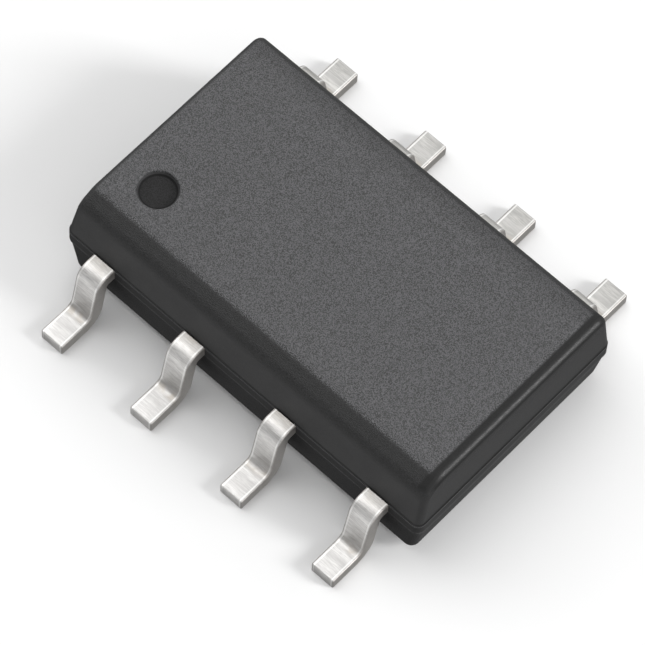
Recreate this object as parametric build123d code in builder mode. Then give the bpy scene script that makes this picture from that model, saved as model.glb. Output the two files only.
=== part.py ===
"""Eight-lead surface-mount power MOSFET: moulded body, gull-wing leads and the die inside.

Millimetres, +Z up. The origin lies on the board plane under the centre of the body.
The lead rows run along X. Lead 1 is at -X, -Y, beside the round recess in the top face.
Leads 1 to 3 are the source, lead 4 is the gate, leads 5 to 8 are the drain.
"""
import os
from math import cos, radians, sin, tan

from build123d import *

os.makedirs("parts", exist_ok=True)

# Lead rows
lead_pitch = 2.54
lead_width = 0.60
lead_thickness = 0.33
lead_span = 9.00
lead_top = 1.55
lead_edge_break = 0.025
leads_per_row = 4
lead_bottom = lead_top - lead_thickness
outer_lead_x = lead_pitch * (leads_per_row - 1) / 2
lead_xs = [i * lead_pitch - outer_lead_x for i in range(leads_per_row)]
source_xs = lead_xs[:-1]
gate_x = lead_xs[-1]

# Gull-wing bends, measured on the upper face of the lead
bend_angle = 79
shoulder_radius = 0.38
heel_radius = 0.22
shoulder_reach = 0.16

# Moulded body, outermost at the band between the two halves of the mould
body_length = 9.85
body_width = 5.85
body_bottom = 0.24
body_top = 2.70
band_ledge = 0.02
corner_radius = 0.20
half_length = body_length / 2
half_width = body_width / 2
upper_half_length = half_length - band_ledge
upper_half_width = half_width - band_ledge

# Upper half: steep end and drain walls, bevelled wall on the side of lead 1
upper_draft = 5
wall_lean = 14
bevel_inset = 0.46
bevel_drop = 0.235
bevel_foot_radius = 0.45
bevel_head_radius = 0.55
top_edge_radius = 0.17
drain_edge_radius = 0.30
upper_height = body_top - lead_top
wall_inset = tan(radians(wall_lean)) * (upper_height - bevel_drop)
drain_wall_inset = tan(radians(upper_draft)) * upper_height

# Lower half, with the two shallow marks of the ejector pins underneath
lower_side_draft = 3
lower_end_draft = 9
bottom_edge_radius = 0.08
ejector_mark_diameter = 1.00
ejector_mark_depth = 0.04
ejector_mark_spacing = 5.20
lower_height = lead_bottom - body_bottom
lower_side_inset = tan(radians(lower_side_draft)) * lower_height
lower_end_inset = tan(radians(lower_end_draft)) * lower_height

# Recess that marks lead 1
dot_from_end = 1.165
dot_from_side = 1.545
dot_diameter = 0.91
dot_depth = 0.11
dot_wall_angle = 30
dot_x = dot_from_end - half_length
dot_y = dot_from_side - half_width

# Stamped frame inside the body
edge_cover = 0.55
root_cover = 0.45
bar_depth = 0.95
paddle_gap = 0.55
gate_gap = 0.45
gate_tab_reach = 0.55
lock_hole_diameter = 0.60
lock_hole_inset = 0.80
frame_corner_radius = 0.12
frame_half_length = half_length - edge_cover
lock_hole_x = frame_half_length - lock_hole_inset
root_y = half_width - root_cover
bar_y = bar_depth / 2 - root_y
paddle_near_y = bar_depth + paddle_gap - root_y
paddle_width = root_y - paddle_near_y
paddle_y = (root_y + paddle_near_y) / 2
gate_tab_start_x = gate_x - gate_tab_reach
gate_tab_width = frame_half_length - gate_tab_start_x
gate_tab_x = (frame_half_length + gate_tab_start_x) / 2
source_bar_end_x = gate_tab_start_x - gate_gap
bar_length = source_bar_end_x + frame_half_length
bar_x = (source_bar_end_x - frame_half_length) / 2
stub_length = root_cover + frame_corner_radius

# Silicon die and the solder under it
die_length = 3.60
die_width = 2.20
die_thickness = 0.28
die_x = -0.60
die_offset_y = -0.10
solder_thickness = 0.05
solder_spread = 0.10
die_y = paddle_y + die_offset_y
die_bottom = lead_top + solder_thickness
die_top = die_bottom + die_thickness

# Bond wires with a pressed foot at each end
source_wire_diameter = 0.25
source_wire_count = 3
source_wire_spacing = 1.05
source_pad_offset_x = -0.30
gate_wire_diameter = 0.15
gate_pad_inset = 0.40
foot_length_ratio = 2.2
foot_width_ratio = 1.5
foot_height_ratio = 0.62
wire_rise_angle = 55
wire_crest_angle = 22
first_rise = 0.31
second_rise = 0.10
source_pad_x = die_x + source_pad_offset_x
gate_pad_x = die_x + die_length / 2 - gate_pad_inset
gate_pad_y = die_y - die_width / 2 + gate_pad_inset

# One formed lead of the row at -Y, from the wall of the body to the toe
bend = radians(bend_angle)
bend_drop = (shoulder_radius + heel_radius) * (1 - cos(bend))
leg_length = (lead_top - lead_thickness - bend_drop) / sin(bend)
with BuildPart() as formed_lead:
    with BuildSketch(Plane.YZ.offset(-lead_width / 2)):
        with BuildLine():
            run_out = Line((-half_width, lead_top), (-(half_width + shoulder_reach), lead_top))
            shoulder = JernArc(run_out @ 1, run_out % 1, shoulder_radius, bend_angle)
            leg = Line(shoulder @ 1, shoulder @ 1 + (shoulder % 1) * leg_length)
            heel = JernArc(leg @ 1, leg % 1, heel_radius, -bend_angle)
            toe = Line(heel @ 1, (-lead_span / 2, lead_thickness))
            offset(amount=lead_thickness, side=Side.LEFT, closed=True)
        make_face()
    extrude(amount=lead_width)
    wall_face = formed_lead.faces().sort_by(Axis.Y)[-1]
    long_edges = formed_lead.faces().filter_by(Axis.X).edges() - wall_face.edges()
    chamfer(long_edges, length=lead_edge_break)

# Drain frame: leads 5 to 8 and the paddle that carries the die, one stamping
lead_root = (Align.CENTER, Align.MIN)
with BuildPart() as drain_frame:
    with BuildSketch(Plane.XY.offset(lead_bottom)):
        with Locations((0, paddle_y)):
            RectangleRounded(2 * frame_half_length, paddle_width, frame_corner_radius)
        with Locations([(x, half_width - stub_length) for x in lead_xs]):
            Rectangle(lead_width, stub_length, align=lead_root)
        with Locations((-lock_hole_x, paddle_y), (lock_hole_x, paddle_y)):
            Circle(lock_hole_diameter / 2, mode=Mode.SUBTRACT)
    extrude(amount=lead_thickness)
    for x in lead_xs:
        add(formed_lead.part.mirror(Plane.XZ).moved(Location((x, 0, 0))))
drain_frame.part.label = "drain_frame"
export_step(drain_frame.part, "parts/drain_frame.step")

# Source frame: leads 1 to 3 and the bar that takes the source wires, one stamping
with BuildPart() as source_frame:
    with BuildSketch(Plane.XY.offset(lead_bottom)):
        with Locations((bar_x, bar_y)):
            RectangleRounded(bar_length, bar_depth, frame_corner_radius)
        with Locations([(x, -half_width) for x in source_xs]):
            Rectangle(lead_width, stub_length, align=lead_root)
    extrude(amount=lead_thickness)
    for x in source_xs:
        add(formed_lead.part.moved(Location((x, 0, 0))))
source_frame.part.label = "source_frame"
export_step(source_frame.part, "parts/source_frame.step")

# Gate lead: lead 4 and its bonding tab, one stamping
with BuildPart() as gate_lead:
    with BuildSketch(Plane.XY.offset(lead_bottom)):
        with Locations((gate_tab_x, bar_y)):
            RectangleRounded(gate_tab_width, bar_depth, frame_corner_radius)
        with Locations((gate_x, -half_width)):
            Rectangle(lead_width, stub_length, align=lead_root)
    extrude(amount=lead_thickness)
    add(formed_lead.part.moved(Location((gate_x, 0, 0))))
gate_lead.part.label = "gate_lead"
export_step(gate_lead.part, "parts/gate_lead.step")

# Solder that holds the die down, with a sloping edge all round
with BuildPart() as die_solder:
    with BuildSketch(Plane.XY.offset(lead_top)):
        with Locations((die_x, die_y)):
            Rectangle(die_length + 2 * solder_spread, die_width + 2 * solder_spread)
    with BuildSketch(Plane.XY.offset(die_bottom)):
        with Locations((die_x, die_y)):
            Rectangle(die_length, die_width)
    loft()
die_solder.part.label = "die_solder"
export_step(die_solder.part, "parts/die_solder.step")

# Silicon die
with BuildPart() as silicon_die:
    with BuildSketch(Plane.XY.offset(die_bottom)):
        with Locations((die_x, die_y)):
            Rectangle(die_length, die_width)
    extrude(amount=die_thickness)
silicon_die.part.label = "silicon_die"
export_step(silicon_die.part, "parts/silicon_die.step")


def bond_wire(start, end, diameter):
    """A round wire looping between two pads, with a flattened foot pressed onto each."""
    start, end = Vector(*start), Vector(*end)
    up = Vector(0, 0, 1)
    along = Vector(end.X - start.X, end.Y - start.Y, 0).normalized()
    foot_length = foot_length_ratio * diameter
    foot_width = foot_width_ratio * diameter
    foot_height = foot_height_ratio * diameter
    leave = start + up * foot_height / 2
    kink = leave + up * first_rise + along * first_rise / tan(radians(wire_rise_angle))
    crest = kink + up * second_rise + along * second_rise / tan(radians(wire_crest_angle))
    land = end + up * foot_height / 2
    with BuildPart() as wire:
        with BuildLine():
            Polyline(leave, kink, crest, land)
        with BuildSketch(Plane(origin=leave, z_dir=kink - leave)):
            Circle(diameter / 2)
        sweep(transition=Transition.RIGHT)
        for pad in (start, end):
            with BuildSketch(Plane(origin=pad, x_dir=along, z_dir=up)):
                Rectangle(foot_length, foot_width)
            extrude(amount=foot_height)
            with BuildSketch(Plane(origin=pad, x_dir=along, z_dir=up)):
                Rectangle(foot_length, foot_width)
            extrude(amount=-foot_height, mode=Mode.SUBTRACT)
    return wire.part


# Source wires, side by side from the die to the source bar
source_wires = []
for i in range(source_wire_count):
    x = source_pad_x + (i - (source_wire_count - 1) / 2) * source_wire_spacing
    source_wire = bond_wire((x, die_y, die_top), (x, bar_y, lead_top), source_wire_diameter)
    source_wire.label = f"source_wire_{i + 1}"
    export_step(source_wire, f"parts/source_wire_{i + 1}.step")
    source_wires.append(source_wire)

# Gate wire, from the corner of the die to the gate tab
gate_wire = bond_wire((gate_pad_x, gate_pad_y, die_top), (gate_tab_x, bar_y, lead_top), gate_wire_diameter)
gate_wire.label = "gate_wire"
export_step(gate_wire, "parts/gate_wire.step")

# Moulded body: both halves and the band between them, cast round the frame, the die and the wires
with BuildPart() as upper_half:
    bevel_foot = (-upper_half_width + wall_inset, body_top - bevel_drop)
    bevel_head = (-upper_half_width + wall_inset + bevel_inset, body_top)
    drain_edge = (upper_half_width - drain_wall_inset, body_top)
    with BuildSketch(Plane.YZ.offset(-half_length)) as upper_section:
        with BuildLine():
            Polyline(
                (-upper_half_width, lead_top),
                bevel_foot,
                bevel_head,
                drain_edge,
                (upper_half_width, lead_top),
                close=True,
            )
        make_face()
        fillet(upper_section.vertices().sort_by_distance(bevel_foot)[0], radius=bevel_foot_radius)
        fillet(upper_section.vertices().sort_by_distance(bevel_head)[0], radius=bevel_head_radius)
        fillet(upper_section.vertices().sort_by_distance(drain_edge)[0], radius=drain_edge_radius)
    extrude(amount=body_length)
    for side in (-1, 1):
        end_wall = Plane(
            origin=(side * upper_half_length, 0, lead_top),
            z_dir=(side * cos(radians(upper_draft)), 0, sin(radians(upper_draft))),
        )
        split(bisect_by=end_wall, keep=Keep.BOTTOM)
    parting_face = upper_half.faces().sort_by(Axis.Z)[0]
    end_faces = upper_half.faces().sort_by(Axis.X)
    rims = [e for end_face in (end_faces[0], end_faces[-1]) for e in end_face.edges() - parting_face.edges()]
    fillet(rims, radius=top_edge_radius)

with BuildPart() as lower_half:
    with BuildSketch(Plane.XY.offset(lead_bottom)):
        RectangleRounded(2 * upper_half_length, 2 * upper_half_width, corner_radius)
    with BuildSketch(Plane.XY.offset(body_bottom)):
        RectangleRounded(
            2 * (upper_half_length - lower_end_inset),
            2 * (upper_half_width - lower_side_inset),
            corner_radius,
        )
    loft()
    fillet(lower_half.faces().sort_by(Axis.Z)[0].edges(), radius=bottom_edge_radius)

with BuildPart() as mould_body:
    with BuildSketch(Plane.XY.offset(lead_bottom)):
        RectangleRounded(body_length, body_width, corner_radius)
    extrude(amount=lead_thickness)
    add(upper_half.part)
    add(lower_half.part)
    with BuildSketch(Plane.XY.offset(body_top)):
        with Locations((dot_x, dot_y)):
            Circle(dot_diameter / 2)
    extrude(amount=-dot_depth, taper=dot_wall_angle, mode=Mode.SUBTRACT)
    with BuildSketch(Plane.XY.offset(body_bottom)):
        with GridLocations(ejector_mark_spacing, 0, 2, 1):
            Circle(ejector_mark_diameter / 2)
    extrude(amount=ejector_mark_depth, mode=Mode.SUBTRACT)
    for inner in (drain_frame.part, source_frame.part, gate_lead.part, die_solder.part, silicon_die.part):
        add(inner, mode=Mode.SUBTRACT)
    for inner in source_wires + [gate_wire]:
        add(inner, mode=Mode.SUBTRACT)
mould_body.part.label = "mould_body"
export_step(mould_body.part, "parts/mould_body.step")
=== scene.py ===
"""Looks of an eight-lead surface-mount power MOSFET: fine moulded body, formed leads, finishes and studio."""

from math import atan, cos, pi, radians, sin, tan

import bmesh
import bpy
from mathutils import Matrix, Vector


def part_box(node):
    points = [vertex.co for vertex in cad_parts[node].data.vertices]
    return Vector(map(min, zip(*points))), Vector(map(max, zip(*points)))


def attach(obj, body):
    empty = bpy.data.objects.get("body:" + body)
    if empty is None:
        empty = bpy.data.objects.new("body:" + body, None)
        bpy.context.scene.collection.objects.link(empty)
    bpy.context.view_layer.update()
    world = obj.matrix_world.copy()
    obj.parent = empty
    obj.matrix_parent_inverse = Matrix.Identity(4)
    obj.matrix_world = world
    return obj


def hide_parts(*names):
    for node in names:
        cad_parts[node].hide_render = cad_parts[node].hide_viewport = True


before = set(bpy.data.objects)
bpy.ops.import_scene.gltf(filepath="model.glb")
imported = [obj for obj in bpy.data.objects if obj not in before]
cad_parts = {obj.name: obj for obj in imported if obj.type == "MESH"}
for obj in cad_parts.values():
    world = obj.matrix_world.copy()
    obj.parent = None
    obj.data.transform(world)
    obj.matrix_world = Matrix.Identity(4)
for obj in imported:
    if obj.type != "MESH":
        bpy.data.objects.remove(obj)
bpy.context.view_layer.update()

MM = 0.001

# Sizes read from the frame, in millimetres
body_low, body_high = (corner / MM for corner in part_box("mould_body"))
source_low, source_high = (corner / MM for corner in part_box("source_frame"))
half_length = body_high.x
half_width = body_high.y
body_bottom = body_low.z
body_top = body_high.z
half_span = -source_low.y
lead_top = source_high.z

# Sizes that follow the CAD model's own values, in millimetres
lead_pitch = 2.54
lead_width = 0.60
lead_thickness = 0.33
lead_bottom = lead_top - lead_thickness
lead_xs = [(i - 1.5) * lead_pitch for i in range(4)]
bend_angle = radians(79)
shoulder_radius = 0.38
heel_radius = 0.22
shoulder_reach = 0.16
band_ledge = 0.02
corner_radius = 0.20
upper_draft = radians(5)
wall_lean = radians(14)
bevel_inset = 0.46
bevel_drop = 0.235
bevel_foot_radius = 0.45
bevel_head_radius = 0.55
rim_radius = 0.17
drain_edge_radius = 0.30
lower_side_draft = radians(3)
lower_end_draft = radians(9)
bottom_edge_radius = 0.08
ejector_mark_radius = 0.50
ejector_mark_depth = 0.04
ejector_mark_x = 2.60
dot_from_end = 1.165
dot_from_side = 1.545
dot_x = dot_from_end - half_length
dot_y = dot_from_side - half_width
dot_radius = 0.455
dot_depth = 0.11
dot_wall_angle = radians(30)
dot_floor_radius = dot_radius - dot_depth * tan(dot_wall_angle)

# Fine breaks of edges that the CAD model leaves sharp or chamfered, in millimetres
dot_lip_break = 0.012
dot_root_break = 0.03
ejector_lip_break = 0.008
ejector_root_break = 0.01
strip_edge_radius = 0.04
toe_edge_radius = 0.03

# Facets of each rounding and of the round recesses
bevel_foot_segments = 14
bevel_head_segments = 12
drain_edge_segments = 14
rim_segments = 10
corner_segments = 12
bottom_edge_segments = 6
recess_segments = 96
lip_segments = 3
root_segments = 5
shoulder_steps = 24
heel_steps = 18
strip_edge_segments = 4
toe_edge_segments = 3

# Depths inside the body's wall: where a fine lead starts, and where the CAD stamping is cut off
lead_root_depth = 0.30
frame_cut_depth = 0.28

# Tolerances, in millimetres: for finding vertices by their place, and for welding a finished piece
same_place = 1e-4
weld = 1e-5

# Edges that turn more than this stay sharp
sharp_angle = radians(35)

# Camera: where the photograph was taken from, in millimetres, and how near and far it sees, in metres
view_azimuth = radians(-50.566)
view_elevation = radians(63.032)
view_roll = radians(3.887)
view_distance = 100.561
view_aim = Vector((0.293, -0.756, 1.35))
view_lens = 274.6
sensor_width = 36
nearest_seen = 0.001
farthest_seen = 10


def compass(azimuth, elevation):
    """A unit vector from the part towards that azimuth (from +X, towards +Y) and elevation."""
    return Vector((cos(azimuth) * cos(elevation), sin(azimuth) * cos(elevation), sin(elevation)))


def make_camera():
    """The camera that sees the part as the photograph does."""
    data = bpy.data.cameras.new("photo_camera")
    data.lens = view_lens
    data.sensor_width = sensor_width
    data.clip_start = nearest_seen
    data.clip_end = farthest_seen
    camera = bpy.data.objects.new("photo_camera", data)
    bpy.context.scene.collection.objects.link(camera)
    back = compass(view_azimuth, view_elevation)
    turn = (-back).to_track_quat("-Z", "Y").to_matrix() @ Matrix.Rotation(view_roll, 3, "Z")
    camera.matrix_world = Matrix.Translation((view_aim + back * view_distance) * MM) @ turn.to_4x4()
    bpy.context.scene.camera = camera


make_camera()


def finish_piece(bm, name, replaced, material):
    """Turns a bmesh in millimetres into a piece of the object that stands for a CAD node."""
    bmesh.ops.remove_doubles(bm, verts=bm.verts, dist=weld)
    bmesh.ops.recalc_face_normals(bm, faces=bm.faces)
    bmesh.ops.scale(bm, vec=(MM, MM, MM), verts=bm.verts)
    mesh = bpy.data.meshes.new(name)
    bm.to_mesh(mesh)
    bm.free()
    mesh.shade_smooth()
    mesh.set_sharp_from_angle(angle=sharp_angle)
    piece = bpy.data.objects.new(name, mesh)
    bpy.context.scene.collection.objects.link(piece)
    piece.data.materials.append(material)
    weighted = piece.modifiers.new("face_weights", "WEIGHTED_NORMAL")
    weighted.keep_sharp = True
    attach(piece, "root")
    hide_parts(replaced)


def bevel(bm, geom, offset, segments, affect="EDGES"):
    """Rounds edges or corners with an arc."""
    bmesh.ops.bevel(
        bm,
        geom=geom,
        offset=offset,
        offset_type="OFFSET",
        segments=segments,
        profile=0.5,
        affect=affect,
        clamp_overlap=False,
        material=-1,
    )


def box_mesh(low, high):
    """A bmesh box between two corners."""
    bm = bmesh.new()
    bmesh.ops.create_cube(bm, size=1)
    bmesh.ops.scale(bm, vec=high - low, verts=bm.verts)
    bmesh.ops.translate(bm, vec=(high + low) / 2, verts=bm.verts)
    return bm


def new_verts(geom):
    """The vertices among what an operator returned."""
    return [g for g in geom if isinstance(g, bmesh.types.BMVert)]


def new_face(geom):
    """The one face among what an operator returned."""
    return next(g for g in geom if isinstance(g, bmesh.types.BMFace))


def upright_edges(bm):
    """The edges that rise for most of their length: the corners of a band or a drafted half."""
    least_rise = 0.9
    return [e for e in bm.edges if abs((e.verts[1].co - e.verts[0].co).normalized().z) > least_rise]


def near_line(edge, y, z):
    """Whether an edge lies on the line along X at that y and z."""
    return all(abs(v.co.y - y) < same_place and abs(v.co.z - z) < same_place for v in edge.verts)


def is_level(item, z):
    """Whether all of an edge or a face lies at a height."""
    return all(abs(v.co.z - z) < same_place for v in item.verts)


def join(bm, other):
    """Copies another bmesh into this one."""
    mesh = bpy.data.meshes.new("joined")
    other.to_mesh(mesh)
    other.free()
    bm.from_mesh(mesh)
    bpy.data.meshes.remove(mesh)


def upper_half():
    """The half above the parting line: bevelled on the side of lead 1, steep on the others."""
    bm = bmesh.new()
    end_x = half_length - band_ledge
    side_y = half_width - band_ledge
    wall_inset = tan(wall_lean) * (body_top - bevel_drop - lead_top)
    foot = (-side_y + wall_inset, body_top - bevel_drop)
    head = (foot[0] + bevel_inset, body_top)
    far_edge = (side_y - tan(upper_draft) * (body_top - lead_top), body_top)
    outline = [(-side_y, lead_top), foot, head, far_edge, (side_y, lead_top)]
    section = bm.faces.new([bm.verts.new((-end_x, y, z)) for y, z in outline])
    grown = bmesh.ops.extrude_face_region(bm, geom=[section])["geom"]
    bmesh.ops.translate(bm, vec=(2 * end_x, 0, 0), verts=new_verts(grown))
    for vert in bm.verts:
        vert.co.x *= 1 - tan(upper_draft) * (vert.co.z - lead_top) / end_x
    head_turn = atan((body_top - foot[1]) / bevel_inset)
    foot_turn = pi / 2 - wall_lean - head_turn
    square_turn = pi / 2 - upper_draft
    for line, radius, turn, segments in (
        (foot, bevel_foot_radius, foot_turn, bevel_foot_segments),
        (head, bevel_head_radius, head_turn, bevel_head_segments),
        (far_edge, drain_edge_radius, square_turn, drain_edge_segments),
    ):
        bevel(bm, [e for e in bm.edges if near_line(e, *line)], radius * tan(turn / 2), segments)
    end_facing = 0.9
    ends = [f for f in bm.faces if abs(f.normal.x) > end_facing]
    rims = {e for f in ends for e in f.edges if max(v.co.z for v in e.verts) > lead_top + same_place}
    bevel(bm, list(rims), rim_radius * tan(square_turn / 2), rim_segments)
    bmesh.ops.recalc_face_normals(bm, faces=bm.faces)
    return bm


def parting_band():
    """The band between the halves, as thick as the leads."""
    low = Vector((-half_length, -half_width, lead_bottom))
    high = Vector((half_length, half_width, lead_top))
    bm = box_mesh(low, high)
    bevel(bm, upright_edges(bm), corner_radius, corner_segments)
    return bm


def lower_half():
    """The half below the parting line, drafted towards the board."""
    end_x = half_length - band_ledge
    side_y = half_width - band_ledge
    height = lead_bottom - body_bottom
    bm = box_mesh(Vector((-end_x, -side_y, body_bottom)), Vector((end_x, side_y, lead_bottom)))
    for vert in bm.verts:
        if vert.co.z < lead_bottom - same_place:
            vert.co.x *= 1 - tan(lower_end_draft) * height / end_x
            vert.co.y *= 1 - tan(lower_side_draft) * height / side_y
    bevel(bm, upright_edges(bm), corner_radius, corner_segments)
    bottom_edges = [e for e in bm.edges if is_level(e, body_bottom)]
    bevel(bm, bottom_edges, bottom_edge_radius, bottom_edge_segments)
    bmesh.ops.recalc_face_normals(bm, faces=bm.faces)
    return bm


def sink_recess(bm, centre, facing, radius, depth, wall_angle, lip, root):
    """Cuts a round recess into a level face, with a fine break at its lip and at the root of its wall.

    facing is 1 for a face that looks up and -1 for one that looks down.
    """

    def cell_here():
        """The level face that the recess's centre lies in."""
        straight = 0.999
        level = [f for f in bm.faces if f.normal.z * facing > straight and is_level(f, centre.z)]
        return next(f for f in level if bmesh.geometry.intersect_face_point(f, centre))

    # A square is cut round the recess, and its inside gives way to a bridge from square to circle
    reach = 1.5 * radius
    for normal in (Vector((1, 0, 0)), Vector((-1, 0, 0)), Vector((0, 1, 0)), Vector((0, -1, 0))):
        cell = cell_here()
        cut = [cell] + list(cell.edges) + list(cell.verts)
        bmesh.ops.bisect_plane(bm, geom=cut, plane_co=centre + normal * reach, plane_no=normal)
    cell = cell_here()
    square = list(cell.edges)
    bmesh.ops.delete(bm, geom=[cell], context="FACES_ONLY")
    bmesh.ops.subdivide_edges(bm, edges=square, cuts=recess_segments // 4 - 1)
    square = [e for e in bm.edges if e.is_boundary and is_level(e, centre.z)]
    mouth = bmesh.ops.create_circle(bm, segments=recess_segments, radius=radius)["verts"]
    bmesh.ops.rotate(bm, cent=(0, 0, 0), matrix=Matrix.Rotation(pi / 4, 3, "Z"), verts=mouth)

    # The circle is lower than the square while they are bridged, which keeps the bridge from twisting
    sunk = Vector((0, 0, -facing * radius))
    bmesh.ops.translate(bm, vec=centre + sunk, verts=mouth)
    mouth_edges = list({e for v in mouth for e in v.link_edges})
    bmesh.ops.bridge_loops(bm, edges=square + mouth_edges)
    bmesh.ops.translate(bm, vec=-sunk, verts=mouth)
    wall = bmesh.ops.extrude_edge_only(bm, edges=mouth_edges)["geom"]
    floor = new_verts(wall)
    shrink = 1 - tan(wall_angle) * depth / radius
    bmesh.ops.scale(bm, vec=(shrink, shrink, 1), space=Matrix.Translation(-centre), verts=floor)
    bmesh.ops.translate(bm, vec=(0, 0, -facing * depth), verts=floor)
    floor_edges = list({e for v in floor for e in v.link_edges if all(w in floor for w in e.verts)})
    bmesh.ops.holes_fill(bm, edges=floor_edges, sides=0)
    bevel(bm, mouth_edges, lip, lip_segments)
    bevel(bm, floor_edges, root, root_segments)


def make_body(material):
    """The moulded body as one closed skin, with the recess beside lead 1 and the ejector marks underneath."""
    bm = upper_half()
    dot = Vector((dot_x, dot_y, body_top))
    sink_recess(
        bm,
        dot,
        facing=1,
        radius=dot_radius,
        depth=dot_depth,
        wall_angle=dot_wall_angle,
        lip=dot_lip_break,
        root=dot_root_break,
    )
    lower = lower_half()
    for x in (-ejector_mark_x, ejector_mark_x):
        mark = Vector((x, 0, body_bottom))
        sink_recess(
            lower,
            mark,
            facing=-1,
            radius=ejector_mark_radius,
            depth=ejector_mark_depth,
            wall_angle=0,
            lip=ejector_lip_break,
            root=ejector_root_break,
        )
    join(bm, parting_band())
    join(bm, lower)
    for z in (lead_top, lead_bottom):
        bmesh.ops.delete(bm, geom=[f for f in bm.faces if is_level(f, z)], context="FACES_ONLY")
        bmesh.ops.bridge_loops(bm, edges=[e for e in bm.edges if e.is_boundary and is_level(e, z)])
    finish_piece(bm, "moulded_body", "mould_body", material)


def make_lead(x, side):
    """One gull-wing lead, from just inside the body's wall to its toe. side is -1 at leads 1 to 4."""
    bm = bmesh.new()
    bmesh.ops.create_grid(bm, x_segments=1, y_segments=1, size=0.5)
    bmesh.ops.scale(bm, vec=(lead_width, lead_thickness, 1), verts=bm.verts)
    bevel(bm, list(bm.verts), strip_edge_radius, strip_edge_segments, "VERTICES")
    bmesh.ops.rotate(bm, cent=(0, 0, 0), matrix=Matrix.Rotation(pi / 2, 3, "X"), verts=bm.verts)
    start = (0, lead_root_depth - half_width, lead_top - lead_thickness / 2)
    bmesh.ops.translate(bm, vec=start, verts=bm.verts)

    def push(face, vec):
        """Draws the strip straight on from its end face."""
        grown = bmesh.ops.extrude_face_region(bm, geom=[face])["geom"]
        bmesh.ops.translate(bm, vec=vec, verts=new_verts(grown))
        return new_face(grown)

    def bend(face, centre, angle, steps):
        """Bends the strip on from its end face round a line along X."""
        spun = bmesh.ops.spin(
            bm,
            geom=[face],
            cent=centre,
            axis=(1, 0, 0),
            dvec=(0, 0, 0),
            angle=angle,
            steps=steps,
            use_merge=False,
            use_normal_flip=False,
            use_duplicate=False,
        )
        return new_face(spun["geom_last"])

    bend_drop = (shoulder_radius + heel_radius) * (1 - cos(bend_angle))
    leg_length = (lead_top - lead_thickness - bend_drop) / sin(bend_angle)
    leg = Vector((0, -cos(bend_angle), -sin(bend_angle)))
    outward = Vector((0, -sin(bend_angle), cos(bend_angle)))
    face = push(list(bm.faces)[0], (0, -(lead_root_depth + shoulder_reach), 0))
    shoulder = Vector((0, -(half_width + shoulder_reach), lead_top - shoulder_radius))
    face = bend(face, shoulder, bend_angle, shoulder_steps)
    face = push(face, leg * leg_length)
    heel = shoulder + outward * (shoulder_radius + heel_radius) + leg * leg_length
    face = bend(face, heel, -bend_angle, heel_steps)
    toe_length = half_span + face.calc_center_median().y
    face = push(face, (0, -toe_length, 0))
    inner = [f for f in bm.faces if all(len(e.link_faces) > 2 for e in f.edges)]
    bmesh.ops.delete(bm, geom=inner, context="FACES_ONLY")
    bevel(bm, list(face.edges), toe_edge_radius, toe_edge_segments)
    bmesh.ops.translate(bm, vec=(x, 0, 0), verts=bm.verts)
    if side > 0:
        bmesh.ops.scale(bm, vec=(1, -1, 1), verts=bm.verts)
        bmesh.ops.reverse_faces(bm, faces=bm.faces)
    return bm


def make_frame(node, xs, side, material):
    """A stamping: the CAD node's flat inside the body, with finely formed leads outside it."""
    bm = bmesh.new()
    bm.from_mesh(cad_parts[node].data)
    bmesh.ops.scale(bm, vec=(1 / MM, 1 / MM, 1 / MM), verts=bm.verts)
    bmesh.ops.remove_doubles(bm, verts=bm.verts, dist=same_place)
    cut = side * (half_width - frame_cut_depth)
    everything = list(bm.verts) + list(bm.edges) + list(bm.faces)
    bmesh.ops.bisect_plane(
        bm,
        geom=everything,
        plane_co=(0, cut, 0),
        plane_no=(0, side, 0),
        clear_outer=True,
    )
    bmesh.ops.holes_fill(bm, edges=[e for e in bm.edges if e.is_boundary], sides=0)
    for x in xs:
        join(bm, make_lead(x, side))
    finish_piece(bm, node + "_formed", node, material)


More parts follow.
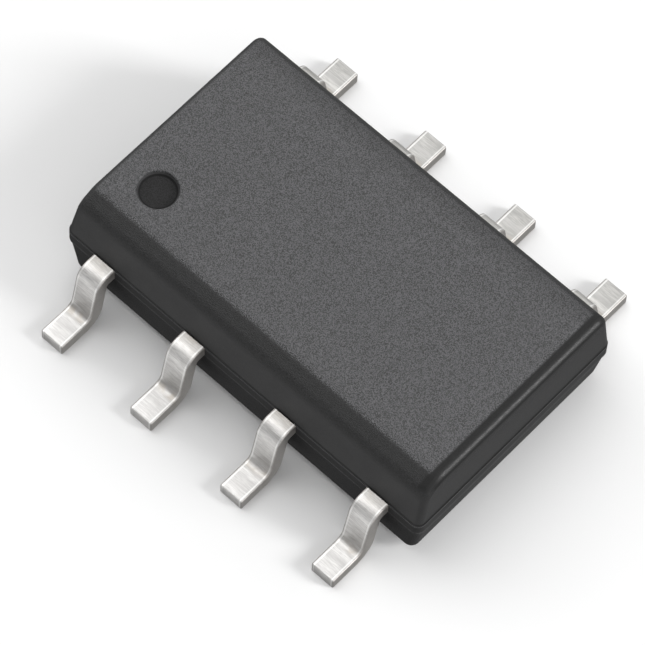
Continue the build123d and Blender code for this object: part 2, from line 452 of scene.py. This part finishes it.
class Shader:
    """A material's node tree with the few helpers that the finishes share."""

    def __init__(self, name):
        self.material = bpy.data.materials.new(name)
        self.material.use_nodes = True
        self.tree = self.material.node_tree
        self.surface = self.tree.nodes["Principled BSDF"]
        self.coordinates = self.tree.nodes.new("ShaderNodeTexCoord")

    def put(self, socket, value):
        """Sets a socket to a number or colour, or links another node's socket to it."""
        if isinstance(value, bpy.types.NodeSocket):
            self.tree.links.new(value, socket)
        else:
            socket.default_value = value

    def millimetres(self, stretch=(1, 1, 1)):
        """Object coordinates in millimetres, stretched along each axis."""
        node = self.tree.nodes.new("ShaderNodeMapping")
        node.inputs["Scale"].default_value = [s / MM for s in stretch]
        self.put(node.inputs["Vector"], self.coordinates.outputs["Object"])
        return node.outputs["Vector"]

    def noise(self, vector, scale, detail, roughness):
        node = self.tree.nodes.new("ShaderNodeTexNoise")
        self.put(node.inputs["Vector"], vector)
        node.inputs["Scale"].default_value = scale
        node.inputs["Detail"].default_value = detail
        node.inputs["Roughness"].default_value = roughness
        return node.outputs["Fac"]

    def remap(self, value, span, results):
        """Turns a span of a value smoothly into a span of results, and holds the results beyond it."""
        node = self.tree.nodes.new("ShaderNodeMapRange")
        node.interpolation_type = "SMOOTHSTEP"
        names = ("Value", "From Min", "From Max", "To Min", "To Max")
        for name, number in zip(names, (value, *span, *results)):
            self.put(node.inputs[name], number)
        return node.outputs["Result"]

    def math(self, operation, a, b=0):
        node = self.tree.nodes.new("ShaderNodeMath")
        node.operation = operation
        self.put(node.inputs[0], a)
        self.put(node.inputs[1], b)
        return node.outputs["Value"]

    def add(self, a, b):
        return self.math("ADD", a, b)

    def times(self, a, b):
        return self.math("MULTIPLY", a, b)

    def off(self, value, centre):
        """How far a value lies from a centre, to either side."""
        return self.math("ABSOLUTE", self.math("SUBTRACT", value, centre))

    def mix(self, share, first, second):
        node = self.tree.nodes.new("ShaderNodeMix")
        node.data_type = "RGBA"
        self.put(node.inputs["Factor"], share)
        self.put(node.inputs["A"], first)
        self.put(node.inputs["B"], second)
        return node.outputs["Result"]

    def split(self, vector):
        node = self.tree.nodes.new("ShaderNodeSeparateXYZ")
        self.put(node.inputs["Vector"], vector)
        return node.outputs

    def bump(self, height, distance, strength=1.0):
        """Raises the surface by a height pattern; the distance is in millimetres."""
        node = self.tree.nodes.new("ShaderNodeBump")
        self.put(node.inputs["Height"], height)
        node.inputs["Distance"].default_value = distance * MM
        self.put(node.inputs["Strength"], strength)
        self.put(self.surface.inputs["Normal"], node.outputs["Normal"])


# The range that most of a noise lies in, and shares that rise or fall along a span
noise_span = (0.3, 0.7)
rising = (0, 1)
falling = (1, 0)

# Moulding compound: the spans, in millimetres, over which one finish turns into the next
upper_grain_z = (body_top - 0.50, body_top - 0.15)
lower_grain_z = (lead_bottom - 0.03, lead_bottom + 0.01)
parting_z = (lead_top - 0.01, lead_top + 0.01)
recess_z = (body_top - dot_depth, body_top - 0.01)
recess_lowest_z = body_top - 1.5 * dot_depth
recess_slope = (dot_floor_radius + 0.012, dot_floor_radius + 0.030)
recess_root_width = (0.010, 0.028)
top_edge_z = (body_top - 0.024, body_top - 0.001)
near_top_z = (body_top - 0.25, body_top - 0.15)
end_fade_x = (half_length - 0.40, half_length - 0.34)
far_end_fade_x = (0.16 - half_length, 0.26 - half_length)
drain_side_fade_y = (half_width - 0.85, half_width - 0.30)
rim_x = (half_length - 0.46, half_length - 0.36)
rim_dull_x = (half_length - 0.27, half_length - 0.21)
parting_shadow_offset = 0.03
parting_highlight_offset = -0.025
parting_line_width = (0.01, 0.03)

# Moulding compound: colours
grain_dark = (0.018, 0.018, 0.0183, 1)
grain_light = (0.088, 0.088, 0.092, 1)
wall_colour = (0.018, 0.018, 0.0184, 1)
lower_wall_shade_colour = (0.009, 0.009, 0.0093, 1)
pit_and_shade_colour = (0.003, 0.003, 0.003, 1)
bevel_shade_colour = (0.016, 0.016, 0.0165, 1)
recess_wall_highlight_colour = (0.045, 0.045, 0.046, 1)
recess_root_shade_colour = (0.0, 0.0, 0.0, 1)
parting_highlight_colour = (0.09, 0.09, 0.092, 1)

# Moulding compound: how strongly each finish shows, and its grain and shine
speckle_span = (0.38, 0.62)
wall_grain = 0.10
lower_grain = 0.5
rim_grain_loss = 0.70
drain_side_shade = 0.65
ragged_height = 0.02
parting_shadow_share = 0.9
parting_highlight_share = 0.8
compound_index = 1.43
compound_roughness = (0.36, 0.46)
flow_roughness = (0, 0.03)
recess_roughness = 0.45
rim_roughness = 0.30
wall_roughness = 0.17
grain_depth = 0.016


def mould_compound():
    """Black epoxy moulding: spark-eroded grain on top and below, finer and duller walls, a smooth recess;
    painted shade on the bevel, the top edges, the recess, the lower half and the parting line, and painted
    highlights on the recess wall and the parting band.
    """
    shader = Shader("mould_compound")
    fine = shader.noise(shader.millimetres(), scale=52, detail=1, roughness=0.5)
    flow = shader.noise(shader.millimetres(), scale=2.2, detail=3, roughness=0.6)
    speckle = shader.remap(fine, speckle_span, rising)
    place = shader.split(shader.millimetres())

    # The recess, and where the grain shows: full on top, weak on the walls, half as strong below
    upper_share = shader.remap(place["Z"], upper_grain_z, (wall_grain, 1))
    lower_share = shader.remap(place["Z"], lower_grain_z, (lower_grain, 0))
    from_dot_x = shader.math("SUBTRACT", place["X"], dot_x)
    from_dot_y = shader.math("SUBTRACT", place["Y"], dot_y)
    squares = shader.add(shader.times(from_dot_x, from_dot_x), shader.times(from_dot_y, from_dot_y))
    from_dot = shader.math("SQRT", squares)
    near_dot = shader.math("LESS_THAN", from_dot, dot_radius)
    sunk = shader.times(shader.remap(place["Z"], recess_z, falling), near_dot)
    recess = shader.times(sunk, shader.math("GREATER_THAN", place["Z"], recess_lowest_z))
    clear = shader.math("SUBTRACT", 1, recess)
    share = shader.times(shader.math("MAXIMUM", upper_share, lower_share), clear)

    # The rim at the +X end is plainer and painted dark (painted shade), and the pale grain stays on the top
    # face, stopping short of the +X edge
    near_top = shader.remap(place["Z"], near_top_z, rising)
    rim = shader.times(shader.remap(place["X"], rim_x, rising), near_top)
    share = shader.times(share, shader.math("SUBTRACT", 1, shader.times(rim, rim_grain_loss)))
    end_fade = shader.remap(place["X"], end_fade_x, falling)
    end_fade = shader.times(end_fade, shader.remap(place["X"], far_end_fade_x, rising))
    # Towards the drain side's rounded edge the pale grain is dimmed: painted shade.
    side_shade = shader.remap(place["Y"], drain_side_fade_y, (1, drain_side_shade))
    ragged = shader.add(place["Z"], shader.times(speckle, ragged_height))
    top_fade = shader.remap(ragged, top_edge_z, rising)
    pale = shader.times(shader.times(end_fade, side_shade), shader.times(top_fade, clear))

    # Walls, bevel and recess, with their painted shade and painted highlights
    # The lower half is painted darker than the upper walls: painted shade.
    below = shader.remap(place["Z"], parting_z, falling)
    smooth = shader.mix(below, wall_colour, lower_wall_shade_colour)
    # Near the top, on the bevel, the rounded edges and the recess floor, a dark speckle: grain with painted
    # shade
    pitted_and_shaded = shader.mix(speckle, pit_and_shade_colour, bevel_shade_colour)
    wall = shader.mix(upper_share, smooth, pitted_and_shaded)
    # The rim at the +X end is painted near black: painted shade.
    wall = shader.mix(rim, wall, pit_and_shade_colour)
    # The recess wall is painted lighter, a painted highlight, and the root of its wall gets a painted shadow
    # line
    recess_wall_highlight = shader.remap(from_dot, recess_slope, rising)
    wall = shader.mix(shader.times(recess_wall_highlight, recess), wall, recess_wall_highlight_colour)
    recess_root_shade = shader.remap(shader.off(from_dot, dot_floor_radius), recess_root_width, falling)
    wall = shader.mix(shader.times(recess_root_shade, recess), wall, recess_root_shade_colour)

    # A painted shadow line outside each ledge of the parting band, and a speckled painted highlight along the
    # band's edge
    for ledge, side in ((lead_top, 1), (lead_bottom, -1)):
        height = shader.times(shader.math("SUBTRACT", place["Z"], ledge), side)
        parting_shadow = shader.remap(shader.off(height, parting_shadow_offset), parting_line_width, (parting_shadow_share, 0))
        wall = shader.mix(parting_shadow, wall, pit_and_shade_colour)
        parting_highlight = shader.remap(shader.off(height, parting_highlight_offset), parting_line_width, (parting_highlight_share, 0))
        wall = shader.mix(shader.times(parting_highlight, speckle), wall, parting_highlight_colour)
    grained = shader.mix(speckle, grain_dark, grain_light)
    shader.put(shader.surface.inputs["Base Color"], shader.mix(pale, wall, grained))

    shader.surface.inputs["IOR"].default_value = compound_index
    roughness = shader.remap(fine, noise_span, compound_roughness)
    roughness = shader.add(roughness, shader.remap(flow, noise_span, flow_roughness))
    roughness = shader.add(roughness, shader.times(recess, recess_roughness))
    dull = shader.times(rim, shader.remap(place["X"], rim_dull_x, (rim_roughness, 0)))
    roughness = shader.add(roughness, dull)
    roughness = shader.add(roughness, shader.remap(upper_share, (wall_grain, 1), (wall_roughness, 0)))
    shader.put(shader.surface.inputs["Roughness"], roughness)
    shader.bump(fine, grain_depth, share)
    return shader.material


# Plating: where tarnish, stain, the heel's painted shade and the toe's darker line and tone lie, in
# millimetres out from the middle line
root_tarnish_y = (half_width, half_width + 0.45)
heel_shade_start_y = (3.42, 3.58)
heel_shade_end_y = (3.86, 3.89)
heel_stain_y = 3.74
heel_stain_width = (0.03, 0.14)
toe_line_y = 4.06
toe_line_width = (0.02, 0.11)
toe_dark_y = (heel_shade_end_y[1], toe_line_y)

# Plating: the sheared sides and the painted edge highlights beside them, seen across the strip
lead_side = (lead_pitch - lead_width) / 2
sheared_side = (lead_side + 0.005, lead_side + 0.045)
edge_highlight_inward = lead_side + 0.055
edge_highlight_width = (0.008, 0.024)

# Plating: colours
warm_colour = (0.50, 0.45, 0.38, 1)
heel_shade_colour = (0.36, 0.35, 0.34, 1)
toe_line_colour = (0.52, 0.51, 0.50, 1)
toe_colour = (0.30, 0.295, 0.29, 1)
edge_highlight_colour = (0.92, 0.915, 0.90, 1)
sheared_colour = (0.40, 0.38, 0.36, 1)

# Plating: how strongly each mark, painted shade and painted highlight shows, and its shine
marks_share = 0.6
streak_span = (0.36, 0.64)
tarnish_share = 0.55
stain_share = 0.6
cloud_span = (0.35, 0.65)
heel_shade_share = 0.28
toe_line_share = 0.55
toe_share = 0.16
edge_highlight_share = 0.6
sheared_share = 0.75
plating_roughness = (0.47, 0.55)
cloud_roughness = (0, 0.05)
plating_mark_depth = 0.0025


def tinned_copper(name, dark, light):
    """Matte tin plating with fine marks across the strip, tarnished at the root, painted shade in the heel, a
    darker line and tone on the toe, and painted highlights along the top edges.
    """
    shader = Shader(name)
    marks = shader.noise(shader.millimetres((4, 40, 40)), scale=1, detail=3, roughness=0.65)
    bands = shader.noise(shader.millimetres((0.8, 7, 7)), scale=1, detail=2, roughness=0.5)
    cloud = shader.noise(shader.millimetres(), scale=5, detail=2, roughness=0.5)
    streak = shader.add(shader.times(marks, marks_share), shader.times(bands, 1 - marks_share))
    plating = shader.mix(shader.remap(streak, streak_span, rising), dark, light)
    place = shader.split(shader.millimetres())
    out = shader.math("ABSOLUTE", place["Y"])

    # Warm tarnish beside the body and a stain in the heel
    tarnish = shader.times(shader.remap(out, root_tarnish_y, (tarnish_share, 0)), cloud)
    plating = shader.mix(tarnish, plating, warm_colour)
    stain = shader.remap(shader.off(out, heel_stain_y), heel_stain_width, (stain_share, 0))
    stain = shader.times(stain, shader.remap(cloud, cloud_span, (0.1, 1)))
    plating = shader.mix(stain, plating, warm_colour)

    # Painted shade in the heel's bend, then a darker line across the toe, and the toe darker beyond the heel
    heel_shade = shader.remap(out, heel_shade_start_y, (0, heel_shade_share))
    heel_shade = shader.times(heel_shade, shader.remap(out, heel_shade_end_y, falling))
    heel_shade = shader.times(heel_shade, shader.remap(cloud, noise_span, (0.8, 1)))
    plating = shader.mix(heel_shade, plating, heel_shade_colour)
    mark = shader.remap(shader.off(out, toe_line_y), toe_line_width, (toe_line_share, 0))
    mark = shader.times(mark, shader.remap(cloud, noise_span, (0.6, 1)))
    plating = shader.mix(mark, plating, toe_line_colour)
    plating = shader.mix(shader.remap(out, toe_dark_y, (0, toe_share)), plating, toe_colour)

    # Across the strip, inward is half the pitch on a lead's middle line and less at its sides
    inward = shader.math("PINGPONG", place["X"], lead_pitch / 2)
    # A bright line just inside each top edge: painted highlight.
    edge_highlight = shader.remap(shader.off(inward, edge_highlight_inward), edge_highlight_width, (edge_highlight_share, 0))
    plating = shader.mix(edge_highlight, plating, edge_highlight_colour)
    sheared = shader.remap(inward, sheared_side, (sheared_share, 0))
    shader.put(shader.surface.inputs["Base Color"], shader.mix(sheared, plating, sheared_colour))

    shader.surface.inputs["Metallic"].default_value = 1
    roughness = shader.remap(streak, noise_span, plating_roughness)
    roughness = shader.add(roughness, shader.remap(cloud, noise_span, cloud_roughness))
    shader.put(shader.surface.inputs["Roughness"], roughness)
    shader.bump(streak, plating_mark_depth)
    return shader.material


# Finish of the pieces sealed in the body
sealed_roughness_range = 0.12
sealed_bump_depth = 0.003


def plain_metal(name, dark, light, roughness, scale):
    """A finish for the pieces sealed in the body."""
    shader = Shader(name)
    cloud = shader.noise(shader.millimetres(), scale, detail=3, roughness=0.6)
    shader.put(shader.surface.inputs["Base Color"], shader.mix(cloud, dark, light))
    shader.surface.inputs["Metallic"].default_value = 1
    dullest = roughness + sealed_roughness_range
    shader.put(shader.surface.inputs["Roughness"], shader.remap(cloud, noise_span, (roughness, dullest)))
    shader.bump(cloud, sealed_bump_depth)
    return shader.material


def dress(node, material):
    """Gives a CAD node its finish."""
    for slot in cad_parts[node].material_slots:
        slot.material = material


body_finish = mould_compound()
lead_finish = tinned_copper(
    "tinned_copper",
    dark=(0.53, 0.52, 0.51, 1),
    light=(0.77, 0.76, 0.745, 1),
)
# The drain-side leads get a darker copy of the same plating: painted shade.
drain_shaded_finish = tinned_copper(
    "tinned_copper_shaded",
    dark=(0.40, 0.395, 0.38, 1),
    light=(0.62, 0.61, 0.59, 1),
)
make_body(body_finish)
make_frame("source_frame", lead_xs[:3], -1, lead_finish)
make_frame("gate_lead", lead_xs[3:], -1, lead_finish)
make_frame("drain_frame", lead_xs, 1, drain_shaded_finish)
solder_finish = plain_metal(
    "solder",
    dark=(0.42, 0.42, 0.43, 1),
    light=(0.60, 0.60, 0.61, 1),
    roughness=0.35,
    scale=9,
)
silicon_finish = plain_metal(
    "silicon",
    dark=(0.16, 0.17, 0.20, 1),
    light=(0.22, 0.23, 0.27, 1),
    roughness=0.12,
    scale=5,
)
wire_finish = plain_metal(
    "aluminium_wire",
    dark=(0.70, 0.70, 0.71, 1),
    light=(0.84, 0.84, 0.85, 1),
    roughness=0.28,
    scale=20,
)
dress("die_solder", solder_finish)
dress("silicon_die", silicon_finish)
for wire in ("source_wire_1", "source_wire_2", "source_wire_3", "gate_wire"):
    dress(wire, wire_finish)

# Studio, in metres and watts
light_distance = 0.80
floor_half_size = 1.5
floor_colour = (0.72, 0.72, 0.72, 1)
floor_roughness = 0.9


def softbox(name, azimuth, elevation, width, height, power):
    """A rectangular studio light that faces the part. Its direction is in degrees."""
    data = bpy.data.lights.new(name, "AREA")
    data.shape = "RECTANGLE"
    data.size = width
    data.size_y = height
    data.energy = power
    light = bpy.data.objects.new(name, data)
    bpy.context.scene.collection.objects.link(light)
    direction = compass(radians(azimuth), radians(elevation))
    turn = (-direction).to_track_quat("-Z", "Y").to_matrix().to_4x4()
    light.matrix_world = Matrix.Translation(direction * light_distance) @ turn


def make_surround():
    """A light tent, bright above and dimmer below, with a few dark and bright panels."""
    world = bpy.data.worlds.new("studio")
    bpy.context.scene.world = world
    world.use_nodes = True
    nodes, links = world.node_tree.nodes, world.node_tree.links
    direction = nodes.new("ShaderNodeTexCoord").outputs["Generated"]

    def panel(azimuth, elevation, span, strengths):
        """A strength that changes over a span of the cosine to one direction, given in degrees."""
        facing = nodes.new("ShaderNodeVectorMath")
        facing.operation = "DOT_PRODUCT"
        facing.inputs[1].default_value = compass(radians(azimuth), radians(elevation))
        links.new(direction, facing.inputs[0])
        node = nodes.new("ShaderNodeMapRange")
        node.interpolation_type = "SMOOTHSTEP"
        for name, number in zip(("From Min", "From Max", "To Min", "To Max"), (*span, *strengths)):
            node.inputs[name].default_value = number
        links.new(facing.outputs["Value"], node.inputs["Value"])
        return node.outputs["Result"]

    def combine(operation, first, second):
        node = nodes.new("ShaderNodeMath")
        node.operation = operation
        links.new(first, node.inputs[0])
        links.new(second, node.inputs[1])
        return node.outputs["Value"]

    tent = panel(0, 90, (-0.10, 0.12), (0.42, 1.10))
    dark_before_bevel = panel(-110, 20, (0.66, 0.94), (1, 0.14))
    dark_before_rim = panel(48, 60, (0.86, 0.98), (1, 0.03))
    dark_before_lower_half = panel(-138, -67, (0.72, 0.94), (1, 0.10))
    bright_before_legs = panel(-106, -24, (0.83, 0.98), (0, 1.15))
    bright_before_shoulders = panel(-158, 73, (0.94, 0.995), (0, 2.30))
    for dark in (dark_before_bevel, dark_before_rim, dark_before_lower_half):
        tent = combine("MULTIPLY", tent, dark)
    for bright in (bright_before_legs, bright_before_shoulders):
        tent = combine("ADD", tent, bright)
    links.new(tent, nodes["Background"].inputs["Strength"])
    nodes["Background"].inputs["Color"].default_value = (1, 1, 1, 1)


def make_studio():
    """A pale floor and soft lights."""
    bm = bmesh.new()
    bmesh.ops.create_grid(bm, x_segments=1, y_segments=1, size=floor_half_size)
    mesh = bpy.data.meshes.new("floor")
    bm.to_mesh(mesh)
    bm.free()
    floor = bpy.data.objects.new("floor", mesh)
    bpy.context.scene.collection.objects.link(floor)
    shader = Shader("floor")
    shader.surface.inputs["Base Color"].default_value = floor_colour
    shader.surface.inputs["Roughness"].default_value = floor_roughness
    mesh.materials.append(shader.material)
    floor.visible_glossy = False
    softbox("back_softbox", azimuth=129, elevation=66, width=0.48, height=0.40, power=0.42)
    softbox("right_strip", azimuth=27, elevation=30, width=0.20, height=0.32, power=4.5)
    softbox("left_fill", azimuth=188, elevation=42, width=0.60, height=0.60, power=1.2)
    make_surround()
    bpy.context.scene.view_settings.view_transform = "Standard"


make_studio()
